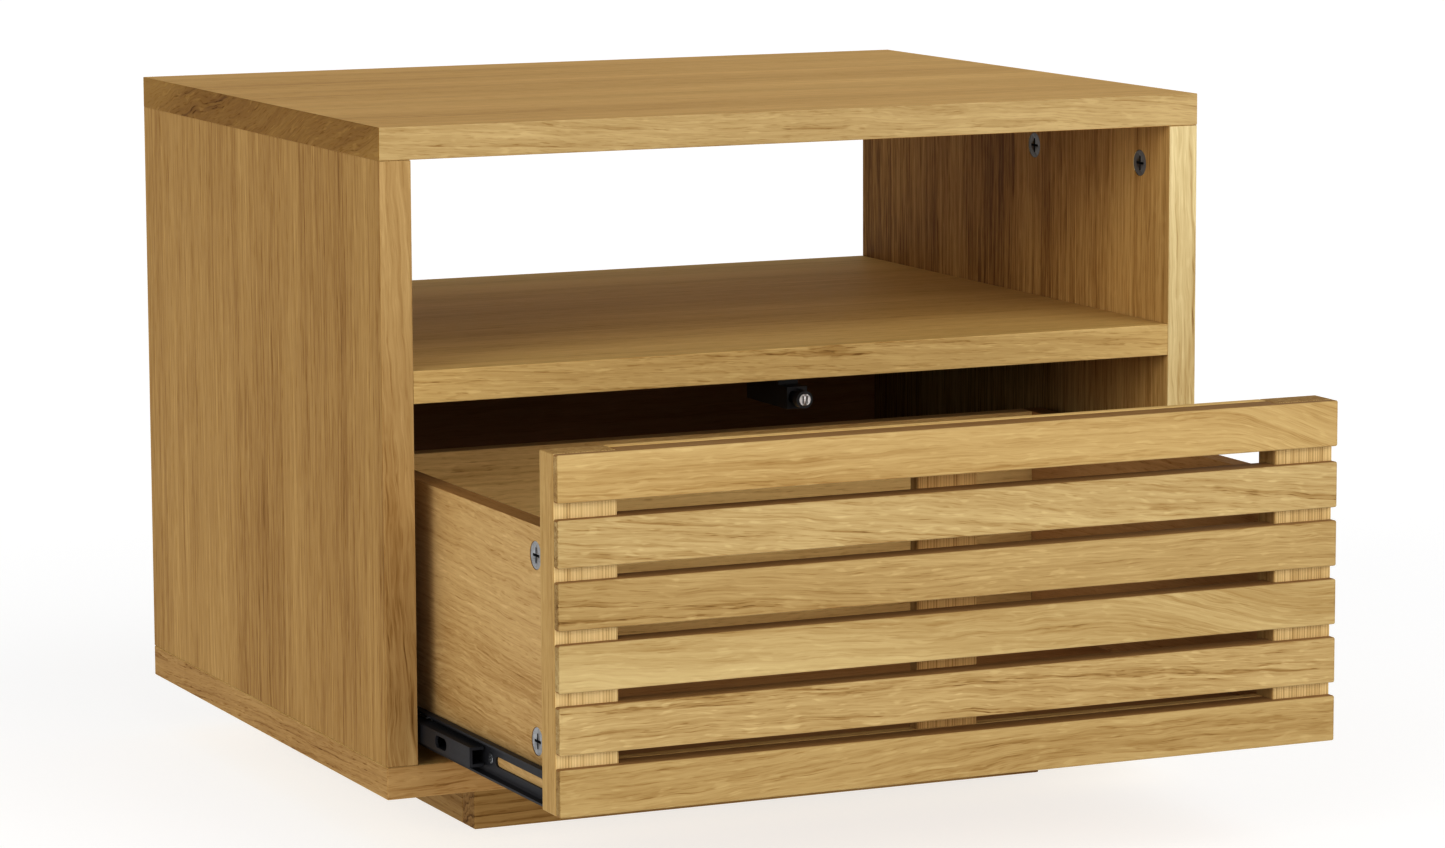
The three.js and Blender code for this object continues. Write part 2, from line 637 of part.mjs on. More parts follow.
// ---- push latch under the shelf -----------------------------------------------------------
// The plunger's round head slides back into a counterbore at the barrel's mouth, and the
// magnet in it meets a steel plate on the back of the drawer front.
function buildLatch() {
  const axis = [LATCH_X, LATCH_Z];
  const half = LATCH_BARREL / 2;
  const left = LATCH_X - half;
  const right = LATCH_X + half;
  const { front, rear, wing, thickness } = LATCH_PLATE;
  const plateUnderside = SHELF_UNDERSIDE - thickness;
  const stemEnd = HEAD_BACK + PLUNGER_STEM.length;
  const stemBore = PLUNGER_STEM.radius + PLUNGER_STEM.play;
  const headBore = PLUNGER_HEAD.radius + PLUNGER_HEAD.play;
  const webEnds = [LATCH_MOUTH + LATCH_WEB.front, LATCH_REAR - LATCH_WEB.rear];
  const barrel = block(left, right, LATCH_MOUTH, LATCH_REAR, LATCH_Z - half, LATCH_Z + half);
  const web = block(left, right, ...webEnds, LATCH_Z, plateUnderside);
  const plateEnds = [LATCH_MOUTH + front, LATCH_REAR - rear];
  const plate = block(left - wing, right + wing, ...plateEnds, plateUnderside, SHELF_UNDERSIDE);
  const body = cut(join(barrel, [web, plate]), [
    bar("y", LATCH_MOUTH - 1, stemEnd + LATCH_STROKE + 2, stemBore, axis),
    bar("y", LATCH_MOUTH - 1, HEAD_BACK + LATCH_STROKE + 1, headBore, axis, 28),
  ]);
  place(cabinet, "latch_housing", body, blackPlastic);
  const head = bar("y", HEAD_FACE, HEAD_BACK, PLUNGER_HEAD.radius, axis, 28);
  const stem = bar("y", HEAD_BACK - 1, stemEnd, PLUNGER_STEM.radius, axis);
  const seatEnd = HEAD_FACE + MAGNET.depth + STRIKE_GAP;
  const seat = bar("y", HEAD_FACE - 1, seatEnd, MAGNET.radius + MAGNET.play, axis, 28);
  place(latchSlide, "latch_plunger", cut(join(head, [stem]), [seat]), blackPlastic);
  const disc = bar("y", MAGNET_FACE, HEAD_FACE + MAGNET.depth, MAGNET.radius, axis);
  const slots = [-1, 1].map((side) => {
    const x = LATCH_X + side * MAGNET_SLOT.offset;
    const across = [x - MAGNET_SLOT.half, x + MAGNET_SLOT.half];
    const up = [LATCH_Z - MAGNET_SLOT.reach, LATCH_Z + MAGNET_SLOT.reach];
    return block(...across, MAGNET_FACE - 1, MAGNET_FACE + MAGNET_SLOT.depth, ...up);
  });
  place(latchSlide, "latch_magnet", cut(disc, slots), nickel);
  const strike = bar("y", FRONT_BACK, FRONT_BACK + STRIKE_THICKNESS, STRIKE_RADIUS, axis, 28);
  place(drawer, "latch_strike_plate", strike, brightSteel);
}

buildCarcass();
buildPlinth();
buildTopFittings();
buildDrawerFront();
buildDrawerBox();
buildDrawerFittings();
buildSlides();
buildSlideScrews();
buildLatch();

export default nightstand;
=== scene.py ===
import json
import math

import bmesh
import bpy
from mathutils import Matrix, Vector


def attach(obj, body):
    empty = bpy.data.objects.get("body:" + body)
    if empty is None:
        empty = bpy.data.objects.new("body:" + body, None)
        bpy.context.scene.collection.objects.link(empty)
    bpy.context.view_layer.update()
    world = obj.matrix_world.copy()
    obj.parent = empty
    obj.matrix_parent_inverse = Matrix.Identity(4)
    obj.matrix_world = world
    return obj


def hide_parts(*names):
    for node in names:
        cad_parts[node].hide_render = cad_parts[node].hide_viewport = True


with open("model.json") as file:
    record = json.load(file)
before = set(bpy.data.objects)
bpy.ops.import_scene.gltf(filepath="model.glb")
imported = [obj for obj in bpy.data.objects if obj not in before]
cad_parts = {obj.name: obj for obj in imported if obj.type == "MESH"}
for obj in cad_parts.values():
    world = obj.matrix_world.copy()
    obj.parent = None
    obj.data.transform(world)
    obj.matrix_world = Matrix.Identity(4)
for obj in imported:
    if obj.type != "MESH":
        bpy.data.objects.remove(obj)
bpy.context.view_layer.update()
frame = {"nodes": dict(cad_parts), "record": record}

MM = 0.001
RECORD = frame["record"]
SLOT = {part["node"]: part["material_slot"] for part in RECORD["subparts"]}
BODY = {node: body for body, nodes in RECORD["behaviour"]["bodies"].items() for node in nodes}
SIDES = {"left": -1, "right": 1}
AXIS = {"X": 0, "Y": 1, "Z": 2}


# ---- oak: proportions that every board shares -----------------------------------------------
# The palette multiplies a board's own tone, from its darkest lines to its palest wood.
OAK_PALETTE = (
    (0.00, (0.40, 0.30, 0.20)),
    (0.28, (0.76, 0.68, 0.56)),
    (0.55, (1.00, 1.00, 1.00)),
    (0.78, (1.14, 1.19, 1.27)),
    (1.00, (1.30, 1.40, 1.58)),
)
MIDDLE = 0.58  # where plain wood lies in the palette
# The arris tone is a painted highlight: rounded arrises are drawn paler than the faces beside them.
FIBRE_TONE, ARRIS_HIGHLIGHT, END_GRAIN_TONE = 0.05, 0.05, -0.20
# Noise fields: features per metre along the grain and across it, detail, roughness.
FIELDS = {
    "sway": (3.5, 14.0, 2.0, 0.5),
    "ripple": (38.0, 90.0, 1.0, 0.5),
    "year": (1.5, 60.0, 3.0, 0.6),
    "gap": (26.0, 330.0, 2.0, 0.5),
    "cloud": (1.6, 22.0, 3.0, 0.55),
    "streak": (3.2, 260.0, 3.0, 0.62),
    "strand": (24.0, 620.0, 3.0, 0.65),
    "fibre": (30.0, 1300.0, 2.0, 0.6),
    "fleck": (85.0, 420.0, 1.0, 0.5),
}
SEED_STEP = (0.7310, 0.4170, 0.2930)  # metres through the wood for each unit of seed
SWAY, RIPPLE = 4.5 * MM, 0.7 * MM  # how far the fibres wander sideways
YEARS_ACROSS, YEARS_DEEP = 0.92, 0.39  # the years' layers lean back through the board
YEAR_WANDER = 1.1  # in years
EARLY_WOOD, LATE_FADE = 0.10, 2.2  # share of a year that darkens, and how fast it then fades
LACQUER_ROUGHNESS, LACQUER_SHINE = 0.55, 0.06
PORE_DEPTH = 0.12 * MM

# ---- oak: tones and figures of the boards ---------------------------------------------------
TONES = {
    "top": (0.548, 0.339, 0.120),
    "shelf": (0.556, 0.380, 0.142),
    "front_band": (0.409, 0.283, 0.125),
    "shelf_band": (0.454, 0.308, 0.125),
    "end_band": (0.274, 0.151, 0.038),
    "outer_side": (0.375, 0.224, 0.075),
    "inner_side": (0.517, 0.329, 0.119),
    "left_edge": (0.363, 0.230, 0.092),
    "right_edge": (0.537, 0.418, 0.216),
    "base_end": (0.403, 0.245, 0.090),
    "base_front": (0.404, 0.255, 0.104),
    # The slats' top faces are drawn darker and redder, as painted shade of the narrow slots; the top
    # slat's open top takes it too.
    "shaded_slat_top": (0.330, 0.190, 0.072),
    "slat": (0.439, 0.310, 0.137),
    # The stiles are drawn paler, as painted light on the strips that show in the slats' shade.
    "stile": (0.648, 0.484, 0.239),
    "stile_side": (0.438, 0.281, 0.107),
    "box": (0.514, 0.341, 0.147),
    # The drawer's inner sides and floor are darker and redder than its outside, as painted shade inside
    # the drawer.
    "shaded_box_inner": (0.460, 0.265, 0.105),
    "shaded_box_floor": (0.400, 0.220, 0.085),
    "batten": (0.600, 0.380, 0.150),
    "box_edge": (0.290, 0.155, 0.052),
    # The drawer back and the drawer front's rails are drawn paler, as painted light on wood that lies in
    # shade behind the slats.
    "lit_box_back": (0.700, 0.490, 0.205),
    # The back's inner face is darker and redder than its outside, as painted shade in the closed bays.
    "inside": (0.400, 0.165, 0.058),
    "back": (0.470, 0.290, 0.100),
    "plinth": (0.297, 0.187, 0.070),
}
# The veneered faces of the top, the shelf, the bottom and the back.
VENEER = {"ring": 3.4, "rings": 0.13, "broad": 0.18, "streaks": 0.12, "pores": 0.20, "pore": (14.0, 0.9)}
# The solid lips along their edges.
LIP = {"rings": 0.50, "broad": 0.28, "pores": 0.32, "flecks": 0.14, "strands": 0.18}
# The upright side panels, and their front edges.
PANEL = {
    "ring": 7.0, "rings": 0.05, "broad": 0.24, "streaks": 0.20, "pores": 0.24, "flecks": 0.08,
    "strands": 0.32, "wander": 0.5, "pore": (16.0, 0.9),
}
# Their fade paints shade: the front edges grow paler from 180 to 380 mm up, and their darker lower part
# is a painted shadow of the open drawer.
PANEL_EDGE = {
    "slant": 3.0, "ring": 6.0, "rings": 0.45, "broad": 0.34, "streaks": 0.18, "pores": 0.22,
    "strands": 0.20, "wander": 1.6, "pore": (14.0, 0.8), "fade": ("Z", 180, 380, 0.32),
}
# The finely striped stiles and batten behind the slats.
STRIPES = {
    "ring": 1.5, "rings": 0.70, "broad": 0.06, "streaks": 0.22, "pores": 0.05, "flecks": 0.0,
    "strands": 0.05, "wander": 0.12, "even": 1.0,
}
# The drawer box: its sides, and its back and floor.
BOX_SIDE = {
    "slant": -2.5, "ring": 4.2, "rings": 0.20, "pores": 0.20, "flecks": 0.14, "strands": 0.20,
    "wander": 1.2, "pore": (9.0, 0.8),
}
BOX_INSIDE = {"ring": 4.0, "rings": 0.30, "wander": 0.9, "pores": 0.25}
# Each slat from the top down: slant of the fibres, strength of figure, shade, swirl. The shade is partly
# each slat's own tone and partly painted shade that darkens the lower slats.
SLATS = (
    (1.5, 0.72, (1.04, 1.03, 1.02), (200, 45, 26)),
    (5.0, 1.25, (0.99, 1.01, 1.06), (60, 200, 9)),
    (3.5, 1.20, (0.84, 0.81, 0.77), (0, 220, -8)),
    (2.5, 0.62, (1.02, 1.06, 1.12), (150, 60, 18)),
    (1.0, 1.40, (0.91, 0.90, 0.90), (20, 200, 8)),
    (-0.8, 0.88, (0.91, 0.90, 0.88), (-60, 120, -10)),
)

# ---- small pieces that only show here, in millimetres ---------------------------------------
# Screws that hold the slides' cabinet members. Radii are those of the face and of the underside.
SLIDE_SCREW_X, SLIDE_SCREW_Z = 230.8, 69.25
SLIDE_SCREW_Y = {"front": 12.5, "rear": 88.5}
SLIDE_SCREW_RADII, SLIDE_SCREW_HEIGHT = (3.1, 1.9), 1.2
# Screws that hold the latch under the shelf.
LATCH_SCREW_X = {"left": 3.0, "right": 23.5}
LATCH_SCREW_Y, LATCH_SCREW_Z = -37.5, 245.9
LATCH_SCREW_RADII, LATCH_SCREW_HEIGHT = (2.7, 2.9), 1.1
# A screw's cross recess, as shares of the face's radius and of the head's height.
ARM_REACH, ARM_HALF_WIDTH, RECESS_FLOOR, RECESS_DEPTH = 0.6, 0.15, 0.8, 0.8
ROUND_STEP = 0.49  # the angle from an arm to the next corner of the round face
HEAD_BEVEL = 0.25
# The right bumper's corners. The left one mirrors it.
BUMPER_LOW, BUMPER_HIGH = (221.25, -269.5, 74.95), (224.65, -261.5, 77.55)
BUMPER_ROUNDING = 0.6

# ---- mesh limits ----------------------------------------------------------------------------
MERGE = 1e-6
FLAT_ANGLE = math.radians(0.5)
ARRIS_ANGLE = math.radians(40)
SHARP_ANGLE = math.radians(42)
ARRIS_SEGMENTS = 3
RECESS_START = 0.25 * MM  # below a fitting's face, where its driver recess begins

# ---- studio ---------------------------------------------------------------------------------
# Each light: the way towards it, strength, spread in degrees, and whether surfaces mirror it.
LIGHTS = {
    "key_light": ((0.42, -0.72, 0.55), 1.06, 50, True),
    "front_light": ((0.04, -0.97, 0.20), 1.00, 44, True),
    "side_light": ((-0.80, -0.50, 0.30), 1.22, 36, True),
    "back_light": ((0.15, 0.94, 0.30), 0.26, 40, False),
}
ROOM_BRIGHTNESS = 0.45
VIEW_GAMMA = 0.8
FLOOR_HALF = 12.0
FLOOR_COLOR, FLOOR_ROUGHNESS, FLOOR_GLOW = (0.30, 0.30, 0.30), 0.8, 0.76
CAMERA_PLACE = (-1.2228, -2.6844, 0.6355)
CAMERA_HEADING, CAMERA_DROP, CAMERA_ROLL = 24.448, 8.183, -0.234
CAMERA_LENS, CAMERA_SENSOR, CAMERA_REACH = 128.98, 36.0, 60.0


# ---- shaders --------------------------------------------------------------------------------
class Shader:
    """A material's node tree, with short calls for the nodes used here."""

    def __init__(self, name):
        self.material = bpy.data.materials.new(name)
        self.material.use_nodes = True
        self.tree = self.material.node_tree
        self.surface = self.tree.nodes["Principled BSDF"]
        self.place = self.add("TexCoord", {}).outputs

    def add(self, kind, inputs, **settings):
        node = self.tree.nodes.new("ShaderNode" + kind)
        for key, value in settings.items():
            setattr(node, key, value)
        for key, value in inputs.items():
            self.feed(node.inputs[key], value)
        return node

    def feed(self, socket, value):
        if isinstance(value, bpy.types.NodeSocket):
            self.tree.links.new(value, socket)
        else:
            socket.default_value = value

    def finish(self, **values):
        """Sets the surface's inputs, as Base_Color for Base Color."""
        for key, value in values.items():
            self.feed(self.surface.inputs[key.replace("_", " ")], value)
        return self.material

    def math(self, operation, a, b=0.0, c=0.0):
        return self.add("Math", {0: a, 1: b, 2: c}, operation=operation).outputs[0]

    def vector(self, operation, a, b):
        return self.add("VectorMath", {0: a, 1: b}, operation=operation).outputs[0]

    def split(self, vector):
        return self.add("SeparateXYZ", {0: vector}).outputs

    def join(self, *parts):
        return self.add("CombineXYZ", dict(enumerate(parts))).outputs[0]

    def noise(self, place, scale, detail, roughness):
        """Noise with a number of features per metre, given for each axis or once for all."""
        scales = scale if isinstance(scale, tuple) else (scale,) * 3
        inputs = {"Vector": self.vector("MULTIPLY", place, scales), "Scale": 1.0}
        inputs.update({"Detail": detail, "Roughness": roughness, "Distortion": 0.0})
        return self.add("TexNoise", inputs).outputs[0]

    def skin(self, scale, detail, roughness):
        """Noise that stays with the piece."""
        return self.noise(self.place["Object"], scale, detail, roughness)

    def between(self, value, low, high, to_low=0.0, to_high=1.0):
        """Eases from one value to another as the input goes from low to high."""
        inputs = {"Value": value, "From Min": low, "From Max": high, "To Min": to_low, "To Max": to_high}
        return self.add("MapRange", inputs, interpolation_type="SMOOTHSTEP").outputs[0]

    def mix(self, start, *layers):
        """Adds layers to a starting value, each as (value, weight)."""
        for value, weight in layers:
            start = self.math("MULTIPLY_ADD", value, weight, start)
        return start

    def ramp(self, value, stops):
        node = self.add("ValToRGB", {0: value})
        elements = node.color_ramp.elements
        while len(elements) < len(stops):
            elements.new(0.5)
        for element, (position, color) in zip(elements, stops):
            element.position = position
            element.color = (*color, 1.0)
        return node.outputs[0]

    def bump(self, height, strength, depth):
        inputs = {"Strength": strength, "Distance": depth, "Height": height}
        return self.add("Bump", inputs).outputs[0]


def tinted(color, factors):
    return tuple(min(1.0, c * f) for c, f in zip(color, factors))


def shaded(color, factor):
    return tinted(color, (factor,) * 3)


def oak(name, grain, depth, tone, seed, slant=0.0, ring=4.0, rings=0.2, broad=0.2, streaks=0.12,
        pores=0.25, flecks=0.08, wander=1.0, pore=(9.0, 0.8), strands=0.10, even=0.0,
        fade=("Z", 0, 1, 0.0), swirl=(0, 1, 0)):
    """Lacquered oak as a solid texture. grain is the axis its fibres run along and depth the axis
    through the board. slant turns the fibres in the face, in degrees, ring is the width of a year's
    growth and pore the length and width of a pore, all in millimetres. rings, broad, streaks, pores,
    flecks and strands say how strongly each shows, and even (0 to 1) keeps the rings whole. fade is
    (axis, start, end, change) of a slow change of tone, and swirl (centre, length, rise) bends the
    fibres as a knot beside the board does."""
    s = Shader(name)
    across = ({"X", "Y", "Z"} - {grain, depth}).pop()
    split = s.split(s.place["Object"])
    local = s.join(*(split[AXIS[axis]] for axis in (grain, across, depth)))
    shift = tuple(seed * step for step in SEED_STEP)
    turned = {"Vector": local, "Location": shift, "Rotation": (0, 0, math.radians(slant))}
    straight = s.add("Mapping", turned).outputs[0]

    def field(place, along, sideways, detail, roughness):
        """Noise from -1 to 1, stretched along the grain."""
        noise = s.noise(place, (along, sideways, sideways), detail, roughness)
        limits = {"Value": noise, "From Min": 0.25, "From Max": 0.75, "To Min": -1.0, "To Max": 1.0}
        return s.add("MapRange", limits).outputs[0]

    # The fibres wander from side to side along the board, slowly and in small waves.
    sway = s.math("MULTIPLY", field(straight, *FIELDS["sway"]), SWAY * wander)
    sway = s.mix(sway, (field(straight, *FIELDS["ripple"]), RIPPLE * wander))
    knot, reach, rise = (value * MM for value in swirl)
    sway = s.math("ADD", sway, s.between(split[AXIS[grain]], knot - reach, knot + reach, 0.0, rise))
    place = s.vector("ADD", straight, s.join(0.0, sway, 0.0))

    # Each year's growth starts with a sharp dark line of open pores and fades into smooth wood.
    axes = s.split(place)
    lean = s.mix(s.math("MULTIPLY", axes[1], YEARS_ACROSS), (axes[2], YEARS_DEEP))
    drift = s.math("MULTIPLY", field(place, *FIELDS["year"]), YEAR_WANDER)
    year = s.mix(drift, (lean, 1.0 / (ring * MM)))
    age = s.math("FRACT", year)
    strength = s.add("TexWhiteNoise", {"W": s.math("FLOOR", year)}, noise_dimensions="1D").outputs[0]
    fading = s.math("POWER", s.math("SUBTRACT", 1.0, age), LATE_FADE)
    early = s.math("MULTIPLY", s.between(age, 0.0, EARLY_WOOD), fading)
    early = s.math("MULTIPLY", early, s.mix(0.25, (strength, 0.75)))
    broken = s.between(field(place, *FIELDS["gap"]), -0.35, 0.45, even, 1.0)
    line = s.math("MULTIPLY", early, broken)

    fibres = field(place, *FIELDS["fibre"])
    dashes = field(place, 1000.0 / pore[0], 1000.0 / pore[1], 1.0, 0.5)
    open_pores = s.math("MULTIPLY", s.between(dashes, 0.18, 0.75), s.mix(0.45, (early, 0.8)))
    # The rounded arrises take a painted highlight.
    arris_highlight = s.add("Attribute", {}, attribute_name="arris_highlight").outputs["Fac"]
    normal = s.split(s.place["Normal"])[AXIS[grain]]
    value = s.mix(
        MIDDLE,
        (field(place, *FIELDS["cloud"]), broad),
        (field(place, *FIELDS["streak"]), streaks),
        (line, -rings),
        (field(place, *FIELDS["strand"]), strands),
        (fibres, FIBRE_TONE),
        (open_pores, -pores),
        (s.between(field(place, *FIELDS["fleck"]), 0.35, 0.85), flecks),
        (arris_highlight, ARRIS_HIGHLIGHT),
        (s.between(s.math("ABSOLUTE", normal), 0.6, 0.95), END_GRAIN_TONE),
    )
    axis, start, end, change = fade
    value = s.math("ADD", value, s.between(split[AXIS[axis]], start * MM, end * MM, 0.0, change))
    height = s.math("SUBTRACT", s.math("MULTIPLY", fibres, 0.2), open_pores)
    return s.finish(
        Base_Color=s.ramp(value, [(at, tinted(tone, factors)) for at, factors in OAK_PALETTE]),
        Roughness=s.mix(LACQUER_ROUGHNESS, (fibres, 0.05), (open_pores, 0.20)),
        Specular_IOR_Level=LACQUER_SHINE,
        Normal=s.bump(height, 0.35, PORE_DEPTH),
    )


def rolled_steel(name, color, roughness, drawn, metallic):
    """Plated sheet steel with fine drawing lines along one axis and cloudy plating."""
    s = Shader(name)
    lines = s.skin(tuple(9.0 if axis == drawn else 900.0 for axis in AXIS), 3.0, 0.65)
    clouds = s.skin(70.0, 3.0, 0.5)
    value = s.math("ADD", s.math("MULTIPLY", lines, 0.45), s.math("MULTIPLY", clouds, 0.55))
    stops = [(0.25, shaded(color, 0.72)), (0.5, color), (0.78, tinted(color, (1.35, 1.35, 1.38)))]
    return s.finish(
        Base_Color=s.ramp(value, stops),
        Roughness=s.mix(roughness - 0.11, (clouds, 0.22)),
        Metallic=metallic,
        Normal=s.bump(lines, 0.18, 0.05 * MM),
    )


def cast_zinc(name, color, roughness):
    """Die-cast zinc: fine grained skin with darker stains and small bright wear spots."""
    s = Shader(name)
    grains = s.skin(1600.0, 2.0, 0.6)
    stains = s.skin(220.0, 3.0, 0.6)
    value = s.math("ADD", s.math("MULTIPLY", grains, 0.35), s.math("MULTIPLY", stains, 0.65))
    stops = [(0.30, shaded(color, 0.55)), (0.5, color), (0.72, tinted(color, (1.4, 1.4, 1.42)))]
    return s.finish(
        Base_Color=s.ramp(value, stops),
        Roughness=s.mix(roughness - 0.12, (stains, 0.25)),
        Metallic=0.9,
        Normal=s.bump(grains, 0.3, 0.06 * MM),
    )


def moulded_plastic(name, color, roughness):
    """Satin plastic with a fine moulded texture."""
    s = Shader(name)
    grain = s.skin(2400.0, 2.0, 0.5)
    clouds = s.skin(120.0, 2.0, 0.5)
    stops = [(0.3, shaded(color, 0.75)), (0.7, tinted(color, (1.5, 1.5, 1.55)))]
    return s.finish(
        Base_Color=s.ramp(clouds, stops),
        Roughness=s.mix(roughness - 0.08, (clouds, 0.16)),
        Normal=s.bump(grain, 0.25, 0.04 * MM),
    )


def glowing_paint(name, color, roughness, glow):
    """Mottled paint that gives off a little light of its own."""
    s = Shader(name)
    stops = [(0.3, shaded(color, 0.995)), (0.7, color)]
    return s.finish(
        Base_Color=s.ramp(s.skin(30.0, 2.0, 0.5), stops),
        Roughness=roughness,
        Specular_IOR_Level=0.1,
        Emission_Color=(1.0, 1.0, 1.0, 1.0),
        Emission_Strength=glow,
    )


# ---- mesh work ------------------------------------------------------------------------------
def facing(side):
    """The ways that a piece on this side looks, outward and inward."""
    return ("-X", "+X") if side == "left" else ("+X", "-X")


def axis_and_sign(way):
    """The axis and the sign of a way such as -X."""
    return AXIS[way[1]], -1 if way[0] == "-" else 1


def new_object(name, mesh, materials):
    data = bpy.data.meshes.new(name)
    mesh.to_mesh(data)
    mesh.free()
    for material in materials:
        data.materials.append(material)
    made = bpy.data.objects.new(name, data)
    bpy.context.scene.collection.objects.link(made)
    return made


def new_piece(name, mesh, materials, node, replaced=True):
    """A smoothly shaded piece in the body of a CAD node. It stands for that node
    unless replaced is False."""
    piece = new_object(name, mesh, materials)
    for polygon in piece.data.polygons:
        polygon.use_smooth = True
    piece.data.set_sharp_from_angle(angle=SHARP_ANGLE)
    piece.modifiers.new("even_normals", "WEIGHTED_NORMAL").keep_sharp = True
    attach(piece, BODY[node])
    if replaced:
        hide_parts(node)


def clean_copy(node):
    """The CAD node's mesh with shared corners."""
    mesh = bmesh.new()
    mesh.from_mesh(frame["nodes"][node].data)
    bmesh.ops.remove_doubles(mesh, verts=mesh.verts, dist=MERGE)
    return mesh


def soften(mesh, radius, shortest):
    """Rounds the arrises longer than shortest, and marks the round faces in the arris layer, on which the
    oak paints a highlight.
    """
    arrises = []
    for edge in mesh.edges:
        if edge.is_manifold and edge.calc_face_angle() > ARRIS_ANGLE and edge.calc_length() > shortest:
            arrises.append(edge)
    made = bmesh.ops.bevel(
        mesh, geom=arrises, offset=radius, offset_type="OFFSET", segments=ARRIS_SEGMENTS, profile=0.5,
        affect="EDGES", clamp_overlap=False, loop_slide=True,
    )
    layer = mesh.verts.layers.float.new("arris_highlight")
    for face in made["faces"]:
        for vert in face.verts:
            vert[layer] = 1.0


def board(node, faces, radius, shortest=4.0):
    """A board with rounded arrises. faces gives a material for the faces that look along each axis,
    as X for both ways or as -X or +X for one of them."""
    mesh = clean_copy(node)
    bmesh.ops.dissolve_limit(mesh, angle_limit=FLAT_ANGLE, verts=mesh.verts, edges=mesh.edges)
    soften(mesh, radius * MM, shortest * MM)
    ways = sorted(faces)

    def turned_to(way, normal):
        part = normal[AXIS[way[-1]]]
        return {"-": -part, "+": part}.get(way[0], abs(part))

    for face in mesh.faces:
        face.material_index = max(range(len(ways)), key=lambda index: turned_to(ways[index], face.normal))
    new_piece(node + "_finished", mesh, [faces[way] for way in ways], node)


# ---- boards ---------------------------------------------------------------------------------
def build_carcass():
    top = oak("oak_top", "X", "Z", TONES["top"], seed=1.0, fade=("X", -250, 250, 0.15), **VENEER)
    front_band = oak("oak_band_x", "X", "Y", TONES["front_band"], seed=2.3, slant=3.0, ring=6.0,
                     fade=("X", -250, 250, 0.27), **LIP)
    end_band = oak("oak_band_y", "Y", "X", TONES["end_band"], seed=3.1, slant=14.0, ring=7.0,
                   rings=0.30, broad=0.34, flecks=0.22, wander=2.2, fade=("Y", 200, 290, 0.16),
                   swirl=(50, 60, 16))
    board("top_panel", {"X": end_band, "Y": front_band, "Z": top}, radius=0.5)

    floor = oak("oak_floor", "X", "Z", TONES["shelf"], seed=4.7, **VENEER)
    floor_end = oak("oak_floor_end", "Y", "X", TONES["base_end"], seed=5.2, slant=2.0, ring=5.0, **LIP)
    floor_front = oak("oak_floor_front", "X", "Y", TONES["base_front"], seed=5.9, slant=-1.0, ring=5.0,
                      **LIP)
    board("bottom_panel", {"X": floor_end, "Y": floor_front, "Z": floor}, radius=0.8)

    # The shelf is painted paler towards the back, as light that reaches deep into the bay.
    shelf = oak("oak_shelf", "X", "Z", TONES["shelf"], seed=7.3, fade=("Y", 0, 260, 0.36), **VENEER)
    shelf_front = oak("oak_shelf_front", "X", "Y", TONES["shelf_band"], seed=8.8, slant=2.0, ring=7.0,
                      **LIP)
    board("middle_shelf", {"Y": shelf_front, "Z": shelf}, radius=0.6)

    # The inner face's darker, redder tone is painted shade.
    back_inside = oak("oak_back_inside", "X", "Y", TONES["inside"], seed=9.4, **VENEER)
    back_outside = oak("oak_back_outside", "X", "Y", TONES["back"], seed=9.9, **VENEER)
    board("back_panel", {"-Y": back_inside, "+Y": back_outside}, radius=0.4)

    for index, side in enumerate(SIDES):
        seed = 11.6 + 2.9 * index
        outward, inward = facing(side)
        outside = oak(f"oak_{side}_outside", "Z", "X", TONES["outer_side"], seed, **PANEL)
        # The inner faces are painted darker towards the back, as shade inside the bays.
        inside = oak(f"oak_{side}_inside", "Z", "X", TONES["inner_side"], seed + 0.9,
                     fade=("Y", -95, 75, -0.30), **PANEL)
        edge = oak(f"oak_{side}_edge", "Z", "Y", TONES[f"{side}_edge"], seed + 1.3, **PANEL_EDGE)
        rear = oak(f"oak_{side}_rear_edge", "Z", "Y", TONES["front_band"], seed + 0.6, ring=6.0,
                   rings=0.26)
        faces = {outward: outside, inward: inside, "-Y": edge, "+Y": rear, "Z": rear}
        board(f"{side}_side_panel", faces, radius=0.7)


def build_plinth():
    for index, rail in enumerate(("front", "back", "left", "right")):
        grain, depth = ("X", "Y") if rail in ("front", "back") else ("Y", "X")
        wood = oak(f"oak_plinth_{rail}", grain, depth, TONES["plinth"], seed=17.2 + 1.7 * index,
                   ring=5.0, rings=0.85, strands=0.20, wander=0.6, even=0.7)
        board(f"plinth_{rail}_rail", {depth: wood}, radius=0.8)


def build_drawer_front():
    for row, (slant, figure, tone_and_shade, swirl) in enumerate(SLATS):
        seed = 23.1 + 3.37 * row
        wood = oak(f"oak_slat_{row + 1}", "X", "Y", tinted(TONES["slat"], tone_and_shade), seed, slant=slant,
                   ring=6.5 + row % 3, rings=0.34 * figure, broad=0.24, pores=0.24 * figure,
                   flecks=0.16 * figure, strands=0.18 * figure, wander=1.3, pore=(11.0, 0.6),
                   swirl=swirl)
        # The top and bottom faces take the darker tone, painted shade of the slots.
        edge = oak(f"oak_slat_edge_{row + 1}", "X", "Z", TONES["shaded_slat_top"], seed + 1.7, ring=5.0)
        board(f"drawer_slat_{row + 1}", {"Y": wood, "Z": edge}, radius=1.0)
    # The stiles' paler tone is painted light.
    striped = oak("oak_stile", "Z", "Y", TONES["stile"], seed=46.3, **STRIPES)
    batten = oak("oak_batten", "Z", "Y", TONES["batten"], seed=47.9, **STRIPES)
    side_grain = oak("oak_stile_side", "Z", "X", TONES["stile_side"], seed=48.1, rings=0.30,
                     streaks=0.20, strands=0.20, wander=0.4)
    for side in SIDES:
        board(f"drawer_{side}_stile", {"X": side_grain, "Y": striped}, radius=0.8)
    board("drawer_centre_batten", {"X": side_grain, "Y": batten}, radius=0.4)
    # The rails take the drawer back's paler tone, painted light.
    rail = oak("oak_rail", "X", "Y", TONES["lit_box_back"], seed=51.7)
    for level in ("top", "bottom"):
        board(f"drawer_{level}_rail", {"Y": rail}, radius=0.8)


